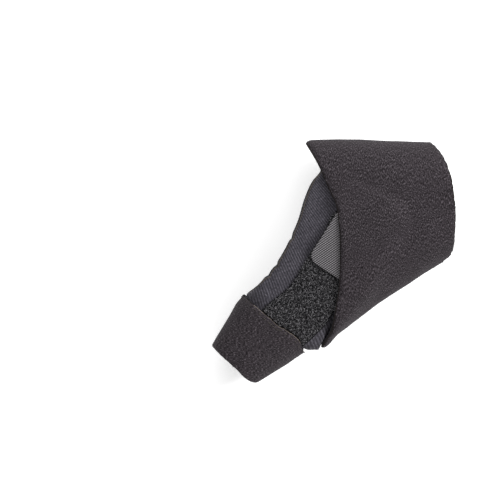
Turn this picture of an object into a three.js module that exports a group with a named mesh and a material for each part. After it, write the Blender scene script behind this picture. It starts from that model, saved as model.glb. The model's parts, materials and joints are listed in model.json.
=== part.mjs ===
// A right-hand thumb and wrist support brace, in the shape it has when it is worn, standing empty.
// A wrap of foam laminate goes round the wrist and the base of the thumb. A thumb sleeve is sewn to
// it, a grey hook tab closes it on a pile patch, and a wide strap is wrapped over all of that.
//
// Millimetres. +X runs towards the elbow, +Y towards the little finger, +Z up off the back of the
// hand. The origin is at the middle of the footprint, on the surface that the palm side rests on.
//
// Every piece is a sheet that follows one surface, the limb inside the brace. A place on that
// surface is (s, u): s runs from the wrist edge (0) to the foot of the thumb sleeve (1) and on to
// the thumb opening (2). u runs once round a cross-section: 0 on the thumb side, 0.25 on the back of
// the hand, 0.5 on the little-finger side and 0.75 on the palm side. A sheet's layers are measured
// outwards from the limb, so layers that don't share a depth can't meet.
import * as THREE from "three";

// ---------------------------------------------------------------- driving dimensions
const FABRIC = 0.35; // one face of the laminate
const FOAM = 0.95; // the core of the laminate
const BOND = 0.25; // bond line between two layers
const LAMINATE = 2 * FABRIC + FOAM + 2 * BOND;
const LAP = 0.4; // air between one panel and the panel that lies over it
const PILE_BOND = 0.5; // the pile patch is stitched on, not bonded
const PILE_BACKING = 0.3;
const PILE_LOOPS = 0.8;
const HOOK_TAPE = 0.35;
const HOOK_STEMS = 0.45;
const THREAD = 0.5; // seam thread, across

// Depths at which the panels start, outwards from the limb.
const OVER_WRAP = LAMINATE + LAP;
const PILE_TOP = LAMINATE + PILE_BOND + PILE_BACKING + BOND + PILE_LOOPS;
const TAB_START = PILE_TOP + BOND;
const TAB_TOP = TAB_START + HOOK_STEMS + BOND + HOOK_TAPE;
const OVER_TAB = TAB_TOP + 2 * LAP;

// The limb, by stations: s, then the thumb side's X and Y, the little-finger side's X and Y, the
// radius on each of those sides, the height of the palm side, and the crown of the back.
const STATIONS = [
  [0.0, 61.9, 7.2, 57.8, 55.2, 20.0, 20.0, 2.15, 0.8],
  [0.25, 42.7, -4.4, 31.0, 55.9, 19.0, 18.6, 2.15, 1.2],
  [0.5, 24.2, -16.6, 3.0, 57.0, 17.6, 16.8, 2.15, 1.8],
  [0.7, 9.9, -27.0, -29.0, 54.6, 16.4, 14.6, 2.3, 2.2],
  [0.85, -0.6, -34.8, -47.5, 22.0, 15.3, 13.6, 3.4, 1.4],
  [1.0, -12.4, -41.3, -43.4, -18.2, 14.5, 14.5, 5.6, 0.4],
  [1.2, -18.6, -44.8, -47.3, -25.8, 13.8, 13.8, 6.1, 0.2],
  [1.5, -27.7, -50.8, -52.0, -34.0, 12.6, 12.6, 6.7, 0.1],
  [2.0, -42.4, -60.1, -59.6, -46.7, 10.4, 10.4, 8.4, 0.0],
];
const ARC_SHARE = 0.17; // the share of u that each quarter round takes
// The heel of the thumb stands out on the thumb side, between the strap and the thumb sleeve.
const HEEL = 3.8;
const [HEEL_FROM, HEEL_TO] = [0.83, 1.16]; // in s
const HEEL_U = 0.13;

// Outlines, seen from above.
const WRAP_WRIST_EDGE = [
  [42, 64], [46, 61.2], [50, 58.8], [53.6, 55], [57.2, 50.6], [61, 41.6], [62.1, 33.8],
  [62.8, 26], [62.6, 18.2], [61.8, 10.4], [61, 5.2], [59.4, 1.8], [56, -1.5],
];
const HAND_EDGE = [
  [2, 75], [-3, 62], [-5, 52], [-6.3, 46.8], [-10.9, 40.3], [-14.8, 31.2], [-17.9, 20.8],
  [-22.4, 10.6], [-25, 5.2], [-28.1, 0], [-31.7, -5.2], [-36.4, -10.4], [-43.7, -16],
  [-52, -19.5], [-66, -22],
];
const STRAP_WRIST_EDGE = [
  [43, 66], [46.5, 63.2], [50.2, 61.2], [52.6, 58.8], [55.6, 54.4], [57.8, 49.4], [60.1, 41.6],
  [61.2, 33.8], [62, 26], [62.5, 18.2], [62.6, 10.4], [62, 5.2], [60.6, 2], [57.5, -0.6],
];
const STRAP_HAND_EDGE = [
  [-20.5, 75], [-15.6, 62.9], [-8.1, 49], [-2.6, 36.1], [1.1, 28.3], [2.5, 18], [3, 7.8],
  [3, -2.6], [2.6, -12], [1.1, -20.8], [-0.8, -30.2], [-3.1, -40.6], [-5.2, -45.5], [-9, -54],
];
const SLIT = [
  [-14, 56], [-5.5, 49.5], [2, 41.5], [9, 34], [18, 26.5], [30, 21], [54, 22], [72, 26],
];
const SLIT_WIDTH = 1.6;

// The hook tab: a round-cornered rectangle that points at the thumb.
const TAB_CORNER = [-14, 0.7];
const TAB_HEADING = 57.2; // degrees from +X to the tab's long side
const TAB_LENGTH = 43;
const TAB_WIDTH = 28;
const TAB_ROUND = 5.2;
const TAB_FOLD_X = 0.4; // the tab's free corner folds up along this line

// The pile patch under it, which bends with the hand edge.
const PILE_PATCH = [
  [2.4, 26.0], [-6.6, 12.8], [-14.0, 1.2], [-22.9, -13.3], [-37.5, -26], [-45, -38], [-26, -51],
  [-15, -43], [-9.4, -38], [-4.6, -33], [-0.5, -26.5], [8, -15], [17, -2], [26, 11],
];

// The strap.
const STRAP_ROOT_U = -0.035;
const STRAP_END_U = 0.485;
const FLAP_U = 0.5 - ARC_SHARE; // where the free end of the strap hinges
const FLAP_GAP_U = 0.0045;
const FLAP_LIFT = 1.7; // room for the hook patch under the free end
const RISE_REACH = 11; // how far from the tab or the pile the strap starts to rise
const RISE_RAMP = 9;
const PILE_SHARE = 0.75; // the pile is lower than the tab, so the strap rises less over it

// The thumb sleeve. These are lengths in s.
const THUMB_LAP_S = 1.24; // how far the wrap reaches into the sleeve
const SLEEVE_BOW = 0.09; // how far its foot bows towards the thumb opening on the back
const SLEEVE_TURN = 0.13; // how far its foot turns towards the opening on the thumb side
const END_BOW = 0.05; // how far its end bows out on the back, and how much more round the thumb side
const END_EXTRA = 0.035;

// ---------------------------------------------------------------- curves
// A smooth curve through rows of [t, a, b, ...], read at t, straight beyond its ends.
function through(rows, t) {
  const last = rows.length - 1;
  const rise = (i, k) => (rows[i + 1][k] - rows[i][k]) / (rows[i + 1][0] - rows[i][0]);
  // The harmonic mean of the rises on both sides, so that the curve never overshoots a row.
  const slope = (i, k) => {
    const [before, after] = [rise(Math.max(i - 1, 0), k), rise(Math.min(i, last - 1), k)];
    return before * after > 0 ? (2 * before * after) / (before + after) : 0;
  };
  const beyond = (i) => rows[i].slice(1).map((v, k) => v + (t - rows[i][0]) * slope(i, k + 1));
  if (t <= rows[0][0]) return beyond(0);
  if (t >= rows[last][0]) return beyond(last);
  let i = 0;
  while (t > rows[i + 1][0]) i += 1;
  const span = rows[i + 1][0] - rows[i][0];
  const x = (t - rows[i][0]) / span;
  const ease = x * x * (3 - 2 * x);
  return rows[i].slice(1).map((v, k) => {
    const start = x * (1 - x) * (1 - x) * span * slope(i, k + 1);
    const end = x * x * (x - 1) * span * slope(i + 1, k + 1);
    return v * (1 - ease) + rows[i + 1][k + 1] * ease + start + end;
  });
}

const mix = (a, b, t) => a + (b - a) * t;
const clamp01 = (t) => Math.min(1, Math.max(0, t));
const smooth = (t) => clamp01(t) ** 2 * (3 - 2 * clamp01(t));
const steps = (from, to, n) => Array.from({ length: n + 1 }, (_, i) => mix(from, to, i / n));

// An outline as a dense polyline, through its points.
function trace(points, closed = false) {
  const curve = new THREE.CatmullRomCurve3(
    points.map(([x, y]) => new THREE.Vector3(x, y, 0)), closed, "centripetal");
  return curve.getPoints(points.length * 8).map((p) => [p.x, p.y]);
}

// How far (x, y) is to the left of a polyline, walking along it.
function leftOf(line) {
  return (x, y) => {
    let best = Infinity;
    let side = 1;
    for (let i = 0; i + 1 < line.length; i += 1) {
      const [ax, ay] = line[i];
      const [dx, dy] = [line[i + 1][0] - ax, line[i + 1][1] - ay];
      const t = clamp01(((x - ax) * dx + (y - ay) * dy) / (dx * dx + dy * dy));
      const [ex, ey] = [x - ax - t * dx, y - ay - t * dy];
      const away = Math.hypot(ex, ey);
      if (away < best) {
        best = away;
        side = Math.sign(dx * ey - dy * ex) || 1;
      }
    }
    return side * best;
  };
}

// ---------------------------------------------------------------- the limb
// A cross-section is a taut belt round two circles that stand on the same floor.
function limb(s, u) {
  const [tx, ty, fx, fy, rT, rF, lift, crown] = through(STATIONS, s);
  const floor = Math.max(lift, LAMINATE);
  const wide = Math.hypot(fx - tx, fy - ty);
  const [ex, ey] = [(fx - tx) / wide, (fy - ty) / wide];
  const [cT, cF] = [[rT, floor + rT], [wide - rF, floor + rF]];
  const lean = 2 * Math.atan2(rT - rF, cF[0] - cT[0]);
  const top = Math.PI / 2 - lean;
  const on = (c, r, a) => [c[0] + r * Math.cos(a), c[1] + r * Math.sin(a)];
  const w = u - Math.floor(u);
  const A = ARC_SHARE;
  const flat = 0.5 - 2 * A;
  let q;
  if (w <= A) q = on(cT, rT, mix(Math.PI, top, w / A));
  else if (w <= 0.5 - A) {
    const t = (w - A) / flat;
    const [a, b] = [on(cT, rT, top), on(cF, rF, top)];
    q = [mix(a[0], b[0], t), mix(a[1], b[1], t) + crown * Math.sin(Math.PI * t) ** 2];
  } else if (w <= 0.5) q = on(cF, rF, mix(top, 0, (w - 0.5 + A) / A));
  else if (w <= 0.5 + A) q = on(cF, rF, mix(0, -Math.PI / 2, (w - 0.5) / A));
  else if (w <= 1 - A) q = [mix(cF[0], cT[0], (w - 0.5 - A) / flat), floor];
  else q = on(cT, rT, mix(-Math.PI / 2, -Math.PI, (w - 1 + A) / A));
  const along = clamp01((s - HEEL_FROM) / (HEEL_TO - HEEL_FROM));
  q[0] -= HEEL * Math.sin(Math.PI * along) ** 2 * smooth(1 - Math.min(w, 1 - w) / HEEL_U);
  return new THREE.Vector3(tx + ex * q[0], ty + ey * q[0], q[1]);
}

function outward(s, u) {
  const along = limb(s + 0.004, u).sub(limb(s - 0.004, u));
  const round = limb(s, u + 0.002).sub(limb(s, u - 0.002));
  return round.cross(along).normalize();
}

// The point that lies at a depth over the limb.
const over = (s, u, depth) => limb(s, u).addScaledVector(outward(s, u), depth);

// ---------------------------------------------------------------- sheets
// The lines round the limb along which every sheet is faceted, so that sheets nest.
const FACET_U = [
  ...steps(0, ARC_SHARE, 5), ...steps(ARC_SHARE, 0.5 - ARC_SHARE, 4).slice(1),
  ...steps(0.5 - ARC_SHARE, 0.5 + ARC_SHARE, 10).slice(1),
  ...steps(0.5 + ARC_SHARE, 1 - ARC_SHARE, 3).slice(1), ...steps(1 - ARC_SHARE, 1, 5).slice(1, -1),
];

// The facet lines between two values of u, with both ends.
function facetsBetween(from, to) {
  const inside = [-1, 0, 1].flatMap((turn) => FACET_U.map((u) => u + turn));
  return [from, ...inside.filter((u) => u > from + 0.008 && u < to - 0.008), to];
}

// A flat pattern: places (s, u) and triangles over them, on a grid. A ring is joined end to end in u.
function pattern(ss, us, ring = false) {
  const places = ss.flatMap((s) => us.map((u) => [s, u]));
  const triangles = [];
  const n = us.length;
  for (let i = 0; i + 1 < ss.length; i += 1)
    for (let j = 0; j < (ring ? n : n - 1); j += 1) {
      const [a, b] = [i * n + j, i * n + ((j + 1) % n)];
      triangles.push([a, b, b + n], [a, b + n, a + n]);
    }
  return { places, triangles, ring };
}

// Cuts a pattern along field = 0 and keeps what is above. Corners near the cut slide onto it. The
// last argument is about how many millimetres a whole step in s and in u is.
function cut(sheet, field, near = 1.3, [sizeS, sizeU] = [90, 180]) {
  const places = sheet.places.map((p) => [...p]);
  const value = places.map(([s, u]) => field(s, u));
  places.forEach((p, i) => {
    if (Math.abs(value[i]) > near) return;
    const [ds, du] = [0.2 / sizeS, 0.2 / sizeU];
    const gs = (field(p[0] + ds, p[1]) - value[i]) / ds;
    const gu = (field(p[0], p[1] + du) - value[i]) / du;
    const g = (gs / sizeS) ** 2 + (gu / sizeU) ** 2;
    if (g < 0.04) return;
    p[0] -= (value[i] * gs) / sizeS ** 2 / g;
    p[1] -= (value[i] * gu) / sizeU ** 2 / g;
    value[i] = 0;
  });
  const made = new Map();
  const crossing = (a, b) => {
    const key = a < b ? `${a} ${b}` : `${b} ${a}`;
    if (!made.has(key)) {
      const ds = places[b][0] - places[a][0];
      let du = places[b][1] - places[a][1];
      if (sheet.ring) du -= Math.round(du);
      let [lo, hi] = value[a] < 0 ? [0, 1] : [1, 0];
      for (let k = 0; k < 12; k += 1) {
        const t = (lo + hi) / 2;
        if (field(places[a][0] + ds * t, places[a][1] + du * t) < 0) lo = t;
        else hi = t;
      }
      made.set(key, places.length);
      places.push([places[a][0] + ds * hi, places[a][1] + du * hi]);
      value.push(0);
    }
    return made.get(key);
  };
  const kept = [];
  for (const tri of sheet.triangles) {
    if (tri.every((i) => value[i] <= 0)) continue;
    const loop = [];
    tri.forEach((a, k) => {
      const b = tri[(k + 1) % 3];
      if (value[a] >= 0) loop.push(a);
      if (value[a] * value[b] < 0) loop.push(crossing(a, b));
    });
    for (let k = 2; k < loop.length; k += 1) kept.push([loop[0], loop[k - 1], loop[k]]);
  }
  return { places, triangles: kept, ring: sheet.ring };
}

// A closed solid over a pattern, from one depth to another. A depth is a number or a function.
function layer({ places, triangles }, from, to) {
  const at = (depth, [s, u]) => over(s, u, typeof depth === "function" ? depth(s, u) : depth);
  const used = [...new Set(triangles.flat())];
  const index = new Map(used.map((v, i) => [v, i]));
  const points = [
    ...used.map((v) => at(from, places[v])),
    ...used.map((v) => at(to, places[v])),
  ];
  const n = used.length;
  const faces = [];
  const rim = new Map();
  for (const tri of triangles) {
    const [a, b, c] = tri.map((v) => index.get(v));
    faces.push([a, c, b], [a + n, b + n, c + n]);
    for (const [p, q] of [[a, b], [b, c], [c, a]])
      if (!rim.delete(`${q} ${p}`)) rim.set(`${p} ${q}`, [p, q]);
  }
  for (const [p, q] of rim.values()) faces.push([p, q, q + n], [p, q + n, p + n]);
  const geometry = new THREE.BufferGeometry();
  geometry.setAttribute("position",
    new THREE.Float32BufferAttribute(points.flatMap((p) => [p.x, p.y, p.z]), 3));
  geometry.setIndex(faces.flat());
  geometry.computeVertexNormals();
  return geometry;
}

// A seam thread: an open tube along points over the limb.
function threadAlong(points, sides = 5) {
  const curve = new THREE.CatmullRomCurve3(points, false, "centripetal");
  const section = new THREE.Shape(
    Array.from({ length: sides }, (_, i) => {
      const a = (2 * Math.PI * i) / sides;
      return new THREE.Vector2(Math.cos(a), Math.sin(a)).multiplyScalar(THREAD / 2);
    }));
  return new THREE.ExtrudeGeometry(section, {
    steps: points.length * 2, extrudePath: curve, bevelEnabled: false });
}

// ---------------------------------------------------------------- fields over the limb
const field = (line, depth) => {
  const away = leftOf(line);
  return (s, u) => {
    const p = over(s, u, depth);
    return away(p.x, p.y);
  };
};

// Distance inside the hook tab's outline, grown by a margin.
function insideTab(x, y, margin = 0) {
  const a = THREE.MathUtils.degToRad(TAB_HEADING);
  const [dx, dy] = [x - TAB_CORNER[0], y - TAB_CORNER[1]];
  const along = dx * Math.cos(a) + dy * Math.sin(a) - TAB_LENGTH / 2;
  const across = dx * Math.sin(a) - dy * Math.cos(a) - TAB_WIDTH / 2;
  const [qx, qy] = [
    Math.abs(along) - TAB_LENGTH / 2 + TAB_ROUND, Math.abs(across) - TAB_WIDTH / 2 + TAB_ROUND];
  const outside = Math.hypot(Math.max(qx, 0), Math.max(qy, 0));
  return margin + TAB_ROUND - outside - Math.min(Math.max(qx, qy), 0);
}

const tabCentre = (() => {
  const a = THREE.MathUtils.degToRad(TAB_HEADING);
  const [c, s] = [Math.cos(a) / 2, Math.sin(a) / 2];
  return [
    TAB_CORNER[0] + TAB_LENGTH * c + TAB_WIDTH * s, TAB_CORNER[1] + TAB_LENGTH * s - TAB_WIDTH * c];
})();

// Where the thumb sleeve starts and ends.
const back = (u) => Math.max(0, Math.sin(2 * Math.PI * u)); // 1 in the middle of the back
const sleeveFoot = (u) => {
  const turn = smooth(1 - Math.abs(u - Math.round(u)) / HEEL_U);
  return 1 + SLEEVE_BOW * back(u) + SLEEVE_TURN * turn;
};
const sleeveEnd = (u) => {
  const thumbArc = Math.sin(Math.PI * Math.min(u / ARC_SHARE, 1));
  return 2 + END_BOW * back(u) + END_EXTRA * Math.max(0, thumbArc) ** 1.5;
};
const belowFoot = leftOf(
  steps(0.02, 0.48, 12).map((u) => over(sleeveFoot(u) - 0.012, u, LAMINATE)).map((p) => [p.x, p.y]));

const pileOutline = trace(PILE_PATCH, true);
const insidePile = leftOf([...pileOutline, pileOutline[0]]);

// The depth at which the strap starts: it rises over the tab and the pile, and over its own hooks.
function strapDepth(s, u) {
  const p = limb(s, u);
  const near = (inside) => smooth((inside + RISE_REACH) / RISE_RAMP);
  const rise = Math.max(near(insideTab(p.x, p.y)), near(insidePile(p.x, p.y)) * PILE_SHARE);
  const onBack = smooth((u - 0.02) / 0.07);
  const tab = (OVER_TAB - OVER_WRAP) * rise * onBack;
  const flap = FLAP_LIFT * smooth((u - 0.25) / (FLAP_U - 0.02 - 0.25));
  return OVER_WRAP + Math.max(tab, flap);
}

// ---------------------------------------------------------------- patterns
const handEdge = field(trace(HAND_EDGE), LAMINATE);
const wristEdge = field(trace(WRAP_WRIST_EDGE), LAMINATE);
const slitLine = leftOf(trace(SLIT));

function wrapPattern() {
  const us = FACET_U;
  const ss = [
    -0.1, ...steps(0.02, 0.5, 5), 0.57, 0.63, 0.69, 0.74, 0.79, 0.84, 0.89, 0.94, 0.98, 1.02, 1.06, 1.11,
    1.17, THUMB_LAP_S];
  let sheet = pattern(ss, us, true);
  sheet = cut(sheet, (s, u) => -wristEdge(s, u));
  sheet = cut(sheet, handEdge, 0.8);
  // The slit in the back, which the hook tab closes.
  return cut(sheet, (s, u) => {
    const w = u - Math.floor(u);
    const p = limb(s, u);
    const onBack = w > 0.02 && w < 0.48;
    return onBack ? Math.abs(slitLine(p.x, p.y)) - SLIT_WIDTH / 2 : Infinity;
  }, 0.5);
}

const strapHand = field(trace(STRAP_HAND_EDGE), OVER_WRAP + LAMINATE);
const strapWrist = field(trace(STRAP_WRIST_EDGE), OVER_WRAP + LAMINATE);

function strapPattern(fromU, toU, rows) {
  const sheet = pattern(steps(-0.1, 1.02, rows), facetsBetween(fromU, toU));
  return cut(cut(sheet, (s, u) => -strapWrist(s, u)), strapHand);
}

// The place (s, u) on the back of the hand that lies under (x, y) when it is at a depth.
function placeUnder(x, y, depth) {
  let [s, u] = [0.65, 0.2];
  const h = 1e-4;
  const clampTo = (v, most) => Math.max(-most, Math.min(most, v));
  for (let k = 0; k < 14; k += 1) {
    const p = over(s, u, depth);
    const ps = over(s + h, u, depth).sub(p).divideScalar(h);
    const pu = over(s, u + h, depth).sub(p).divideScalar(h);
    const det = ps.x * pu.y - ps.y * pu.x;
    const [ex, ey] = [x - p.x, y - p.y];
    s += clampTo((ex * pu.y - ey * pu.x) / det, 0.12);
    u += clampTo((ps.x * ey - ps.y * ex) / det, 0.05);
  }
  return [s, u];
}

// A patch on the back of the hand: a grid turned to a heading, cut to outlines, and laid on.
function patchPattern(outlines, depth, centre, heading, [long, wide], cell = 5) {
  const a = THREE.MathUtils.degToRad(heading);
  const at = (p, q) => [
    centre[0] + p * Math.cos(a) + q * Math.sin(a), centre[1] + p * Math.sin(a) - q * Math.cos(a)];
  const rows = (size) => steps(-size / 2, size / 2, Math.round(size / cell));
  let flat = pattern(rows(long), rows(wide));
  for (const inside of outlines) flat = cut(flat, (p, q) => inside(...at(p, q)), 0.7, [1, 1]);
  return { ...flat, places: flat.places.map(([p, q]) => placeUnder(...at(p, q), depth)) };
}

// ---------------------------------------------------------------- materials
const fabric = (name, color, roughness) =>
  new THREE.MeshStandardMaterial({ name, color, roughness, metalness: 0, side: THREE.DoubleSide });
const materials = {
  brushed: fabric("brushed_face", 0x3f3a3d, 0.95),
  jersey: fabric("ribbed_jersey", 0x484751, 0.8),
  foam: fabric("foam_core", 0x2c2a29, 0.9),
  lining: fabric("lining", 0x33323a, 0.85),
  pile: fabric("pile", 0x232325, 1.0),
  tape: fabric("grey_tape", 0x6b686b, 0.7),
  hooks: fabric("hooks", 0x4a494b, 0.5),
  thread: fabric("thread", 0x55504c, 0.7),
};

// ---------------------------------------------------------------- the brace
const brace = new THREE.Group();
brace.name = "thumb_and_wrist_brace";

function add(name, geometry, material) {
  const mesh = new THREE.Mesh(geometry, material);
  mesh.name = name;
  brace.add(mesh);
  return mesh;
}

// The three layers of a laminate, from the limb outwards.
function laminate(name, sheet, start, face) {
  const at = (extra) => (typeof start === "function" ? (s, u) => start(s, u) + extra : start + extra);
  add(`${name}_lining`, layer(sheet, at(0), at(FABRIC)), materials.lining);
  add(`${name}_foam_core`, layer(sheet, at(FABRIC + BOND), at(FABRIC + BOND + FOAM)), materials.foam);
  add(`${name}_outer_face`, layer(sheet, at(LAMINATE - FABRIC), at(LAMINATE)), face);
}

function addWrap() {
  laminate("wrap", wrapPattern(), 0, materials.jersey);
}

function addThumbSleeve() {
  const rows = [0, 0.05, 0.11, 0.2, ...steps(0.4, 1, 3)];
  const sheet = pattern(rows, FACET_U, true);
  sheet.places = sheet.places.map(([t, u]) => [mix(sleeveFoot(u), sleeveEnd(u), t), u]);
  laminate("thumb_sleeve", sheet, OVER_WRAP, materials.brushed);
}

function addStrap() {
  const main = strapPattern(STRAP_ROOT_U, FLAP_U - FLAP_GAP_U, 9);
  laminate("strap", main, strapDepth, materials.brushed);
  const end = strapPattern(FLAP_U + FLAP_GAP_U, STRAP_END_U, 9);
  laminate("strap_end", end, strapDepth, materials.brushed);
}

// The hook patch under the free end of the strap, and its tape.
function addStrapHooks() {
  const us = facetsBetween(FLAP_U + 0.02, STRAP_END_U - 0.008);
  const margin = 4;
  let sheet = pattern(steps(-0.05, 1, 9), us);
  sheet = cut(sheet, (s, u) => -strapWrist(s, u) - margin);
  sheet = cut(sheet, (s, u) => strapHand(s, u) - margin);
  const at = (extra) => (s, u) => strapDepth(s, u) - extra;
  add("strap_end_hook_tape", layer(sheet, at(BOND + HOOK_TAPE), at(BOND)), materials.tape);
  const stems = BOND + HOOK_TAPE + BOND;
  add("strap_end_hooks", layer(sheet, at(stems + HOOK_STEMS), at(stems)), materials.hooks);
}

// Seam threads lie on top of the sheet that they hold. The sleeve's seam is an open tube, whose two
// ends stop short of each other on the thumb side.
function addThreads() {
  const proud = THREAD / 2 + 0.1;
  const sleeve = steps(0.015, 0.975, 30).map((u) =>
    over(sleeveFoot(u) + 0.04, u, OVER_WRAP + LAMINATE + proud));
  add("thumb_sleeve_seam", threadAlong(sleeve), materials.thread);
  const root = steps(0.03, 0.78, 14).map((s) =>
    over(s, STRAP_ROOT_U + 0.012, OVER_WRAP + LAMINATE + proud));
  add("strap_root_seam", threadAlong(root), materials.thread);
}

function addPilePatch() {
  const start = LAMINATE + PILE_BOND;
  const aboveFoot = (x, y) => -belowFoot(x, y);
  const sheet = patchPattern([insidePile, aboveFoot], start, [-7, -14], 48, [88, 66], 5.5);
  add("thumb_pile_backing", layer(sheet, start, start + PILE_BACKING), materials.tape);
  add("thumb_pile_loops", layer(sheet, PILE_TOP - PILE_LOOPS, PILE_TOP), materials.pile);
}

function addHookTab() {
  const size = [TAB_LENGTH, TAB_WIDTH];
  const sides = {
    hook_tab: (x) => x - TAB_FOLD_X - 0.2,
    hook_tab_corner: (x) => TAB_FOLD_X - 0.2 - x,
  };
  for (const [name, side] of Object.entries(sides)) {
    const sheet = patchPattern([side, insideTab], TAB_START, tabCentre, TAB_HEADING, size, 4.5);
    add(`${name}_hooks`, layer(sheet, TAB_START, TAB_START + HOOK_STEMS), materials.hooks);
    add(`${name}_tape`, layer(sheet, TAB_TOP - HOOK_TAPE, TAB_TOP), materials.tape);
  }
}

addWrap();
addThumbSleeve();
addStrap();
addStrapHooks();
addThreads();
addPilePatch();
addHookTab();

// The origin moves to the middle of the footprint.
const box = new THREE.Box3().setFromObject(brace, true);
const middle = box.getCenter(new THREE.Vector3());
brace.position.set(-middle.x, -middle.y, -box.min.z);

export default brace;
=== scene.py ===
"""A right-hand thumb and wrist support brace, in the shape it has when it is worn, standing empty.

Every soft piece follows one surface, the limb inside the brace. A place on it is (s, u): s runs from
the wrist edge (0) to the foot of the thumb sleeve (1) and the thumb opening (2), and u runs once
round: 0 on the thumb side, 0.25 on the back of the hand, 0.5 on the little-finger side and 0.75 on
the palm side. Lengths are in millimetres until a mesh is made, which is in metres.
"""

import json
import math

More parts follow.
